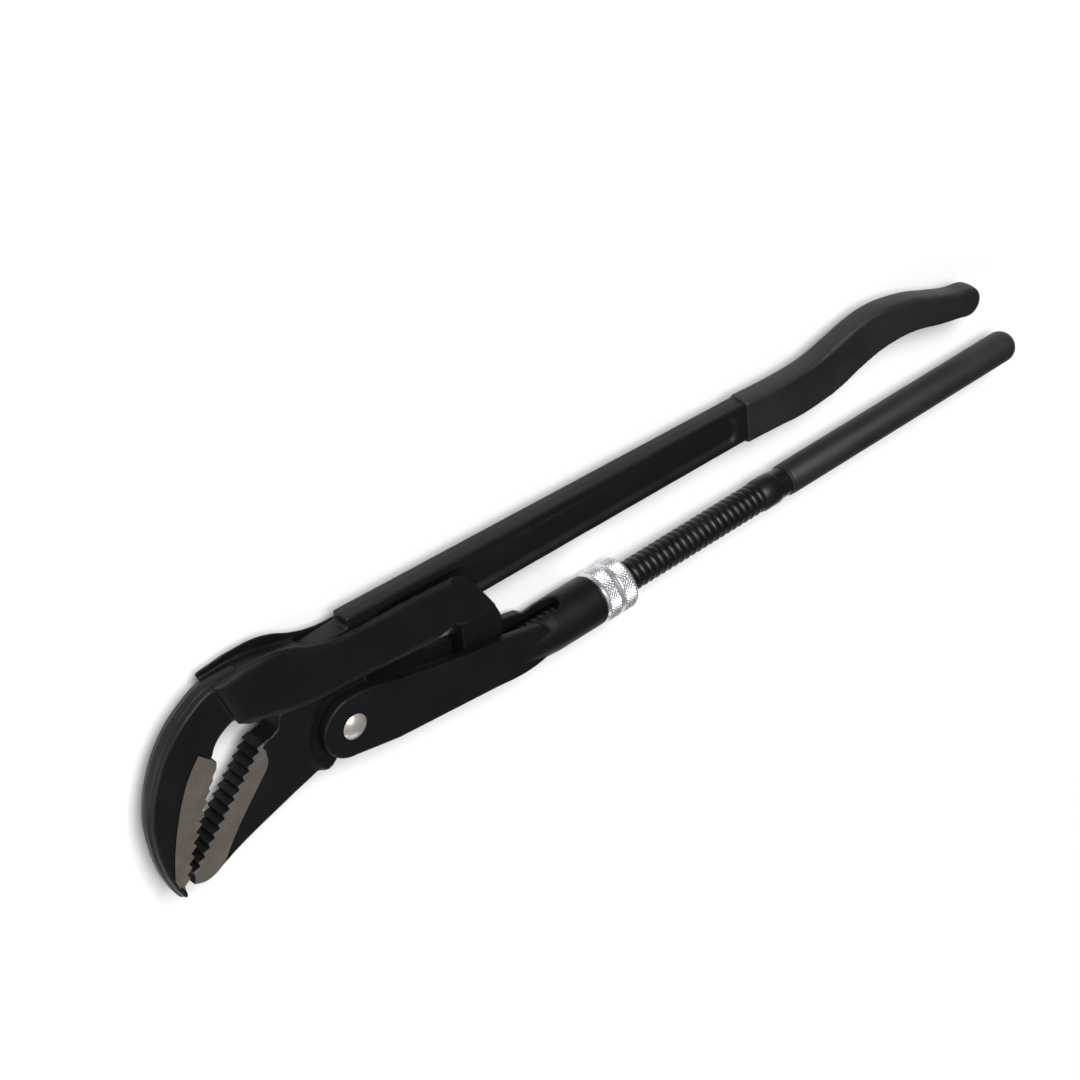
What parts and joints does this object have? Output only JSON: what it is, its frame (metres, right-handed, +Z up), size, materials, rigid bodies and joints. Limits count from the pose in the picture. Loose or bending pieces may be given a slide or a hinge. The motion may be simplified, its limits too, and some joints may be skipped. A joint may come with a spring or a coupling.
{
  "type": "pipe wrench",
  "caption": "Swedish-pattern pipe wrench with two serrated jaws at 45 degrees, a looped hook jaw, a forked yoke, a knurled adjusting nut and two levers with dipped grips.",
  "frame": {"origin": "on the surface the wrench lies on, under the middle of the whole tool's box", "axes": "+X along the lower lever from the jaws towards the grips, +Y towards the upper lever, +Z up, out of the side of the tool"},
  "size_m": [0.5614, 0.1046, 0.0273],
  "materials": {
    "black_paint": "satin black paint over a drop-forged surface, toothed edges ground bare",
    "black_phosphate": "blackened rolled thread and rod",
    "chrome_plate": "bright chrome plate over a diamond knurl",
    "bright_steel": "bare bright steel",
    "dipped_vinyl": "matt black dipped vinyl"
  },
  "bodies": {
    "upper_lever": {"handle_jaw": "black_paint", "upper_grip_sleeve": "dipped_vinyl", "yoke_rivet": "bright_steel"},
    "fork": {"yoke": "black_paint", "nut_retaining_ring": "bright_steel"},
    "nut": {"adjusting_nut": "chrome_plate"},
    "lower_lever": {"spindle": "black_phosphate", "tail_pin": "bright_steel", "lower_grip_sleeve": "dipped_vinyl"},
    "moving_jaw": {"hook_jaw": "black_paint"}
  },
  "joints": [
    {"name": "levers_spread", "type": "hinge", "parent": "upper_lever", "child": "fork", "pos_m": [-0.1708, -0.0096, 0.01365], "axis": [0, 0, -1], "range_deg": [0, 6]},
    {"name": "spindle_travel", "type": "slide", "parent": "fork", "child": "lower_lever", "axis": [-1, 0, 0], "range_m": [0, 0.05]},
    {"name": "nut_turn", "type": "hinge", "parent": "fork", "child": "nut", "pos_m": [-0.0183, -0.0301, 0.01365], "axis": [1, 0, 0], "range_deg": [0, 4501]},
    {"name": "tail_pivot", "type": "hinge", "parent": "lower_lever", "child": "moving_jaw", "pos_m": [-0.0903, -0.0301, 0.01365], "axis": [0, 0, -1], "range_deg": [-0.8, 0]}
  ],
  "couplings": [
    {"joint": "nut_turn", "follows": "spindle_travel", "rad_per_m": 1570.8},
    {"joint": "tail_pivot", "follows": "levers_spread", "ratio": -0.12}
  ]
}
